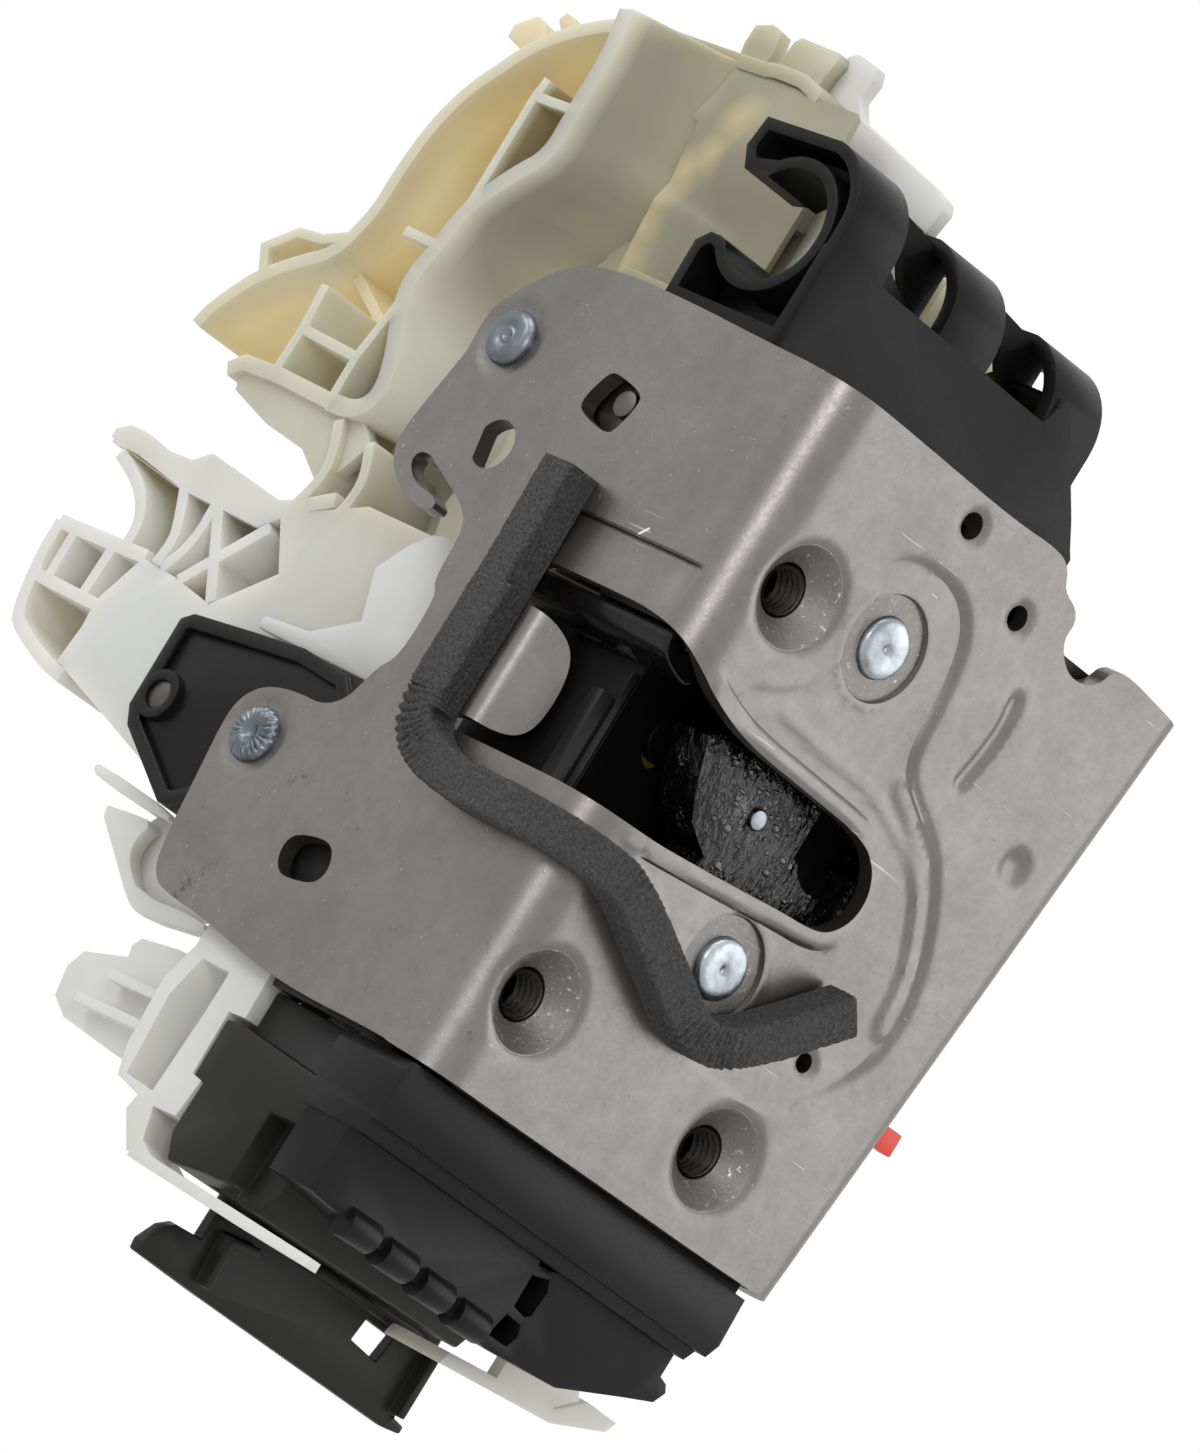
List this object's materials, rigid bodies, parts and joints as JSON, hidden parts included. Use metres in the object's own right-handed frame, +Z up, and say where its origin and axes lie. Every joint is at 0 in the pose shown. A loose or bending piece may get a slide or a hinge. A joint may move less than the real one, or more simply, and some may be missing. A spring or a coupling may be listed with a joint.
{
  "type": "door latch actuator",
  "caption": "Vehicle side-door latch: L-shaped steel plate with a striker slot, claw and pawl, foam seal, black housing with cable clip, and an ivory lock actuator case.",
  "frame": {"origin": "mouth of the thread of the lower inner fixing screw, on the screw axis", "axes": "+X across the shut face away from the flange, +Y into the door, +Z up along the bend"},
  "size_m": [0.0825, 0.1337, 0.1694],
  "materials": {
    "steel_plate": "stamped, lightly brushed",
    "dark_steel": "hardened, oiled",
    "zinc": "bright zinc plated",
    "spring_steel": "drawn wire",
    "motor_steel": "drawn can",
    "black_plastic": "satin, moulded",
    "claw_plastic": "greased",
    "buffer_rubber": "dull",
    "foam": "open cell foam",
    "ivory_plastic": "natural, slightly see-through",
    "white_plastic": "natural white",
    "contact_brass": "tinned",
    "red_plastic": "glossy"
  },
  "bodies": {
    "body": {"latch_plate": "steel_plate", "back_plate": "steel_plate", "claw_pin": "zinc", "pawl_pin": "zinc", "upper_flange_rivet": "zinc", "lower_flange_rivet": "zinc", "case_screw": "zinc", "claw_spring": "spring_steel", "pawl_spring": "spring_steel", "motor_can": "motor_steel", "latch_housing": "black_plastic", "cable_duct": "black_plastic", "lower_shroud": "black_plastic", "connector_shell": "black_plastic", "bracket_plate": "black_plastic", "position_switch": "black_plastic", "striker_buffer": "buffer_rubber", "foam_seal": "foam", "actuator_case": "ivory_plastic", "rear_case": "ivory_plastic", "actuator_cover": "white_plastic", "top_flap": "white_plastic", "end_piece": "white_plastic", "connector_pins": "contact_brass", "red_tab": "red_plastic"},
    "claw": {"claw_core": "dark_steel", "claw_skin": "claw_plastic", "claw_stud": "zinc"},
    "pawl_arm": {"pawl": "dark_steel"},
    "release_lever": {"outside_lever": "dark_steel"},
    "handle_lever": {"inside_lever": "black_plastic", "inside_lever_pin": "zinc"},
    "lock_arm": {"lock_lever": "white_plastic"},
    "gear": {"lock_gear": "white_plastic"},
    "worm_shaft": {"worm": "white_plastic"}
  },
  "joints": [
    {"name": "claw_turn", "type": "hinge", "parent": "body", "child": "claw", "pos_m": [0.0222, 0.0047, 0.0155], "axis": [0, -1, 0], "range_deg": [0, 50]},
    {"name": "pawl_turn", "type": "hinge", "parent": "body", "child": "pawl_arm", "pos_m": [0.0177, 0.0047, 0.057], "axis": [0, -1, 0], "range_deg": [-6.2, 6], "stiffness_Nm_per_rad": 0.02},
    {"name": "release_lever_turn", "type": "hinge", "parent": "body", "child": "release_lever", "pos_m": [-0.007, 0.0491, 0.0675], "axis": [1, 0, 0], "range_deg": [0, 5], "stiffness_Nm_per_rad": 0.02},
    {"name": "handle_lever_turn", "type": "hinge", "parent": "body", "child": "handle_lever", "pos_m": [-0.0045, 0.0511, 0.012], "axis": [1, 0, 0], "range_deg": [0, 18], "stiffness_Nm_per_rad": 0.02},
    {"name": "lock_gear_turn", "type": "hinge", "parent": "body", "child": "gear", "pos_m": [0.0153, 0.0594, 0.094], "axis": [1, 0, 0], "range_deg": [-35, 35]},
    {"name": "worm_spin", "type": "hinge", "parent": "body", "child": "worm_shaft", "pos_m": [0.0159, 0.0475, 0.08], "axis": [0, 0, 1], "range_deg": [-1050, 1050]},
    {"name": "lock_arm_turn", "type": "hinge", "parent": "body", "child": "lock_arm", "pos_m": [-0.0007, 0.0427, 0.033], "axis": [1, 0, 0], "range_deg": [-6, 6]}
  ],
  "couplings": [
    {"joint": "worm_spin", "follows": "lock_gear_turn", "ratio": 30},
    {"joint": "lock_arm_turn", "follows": "lock_gear_turn", "ratio": 0.17}
  ]
}
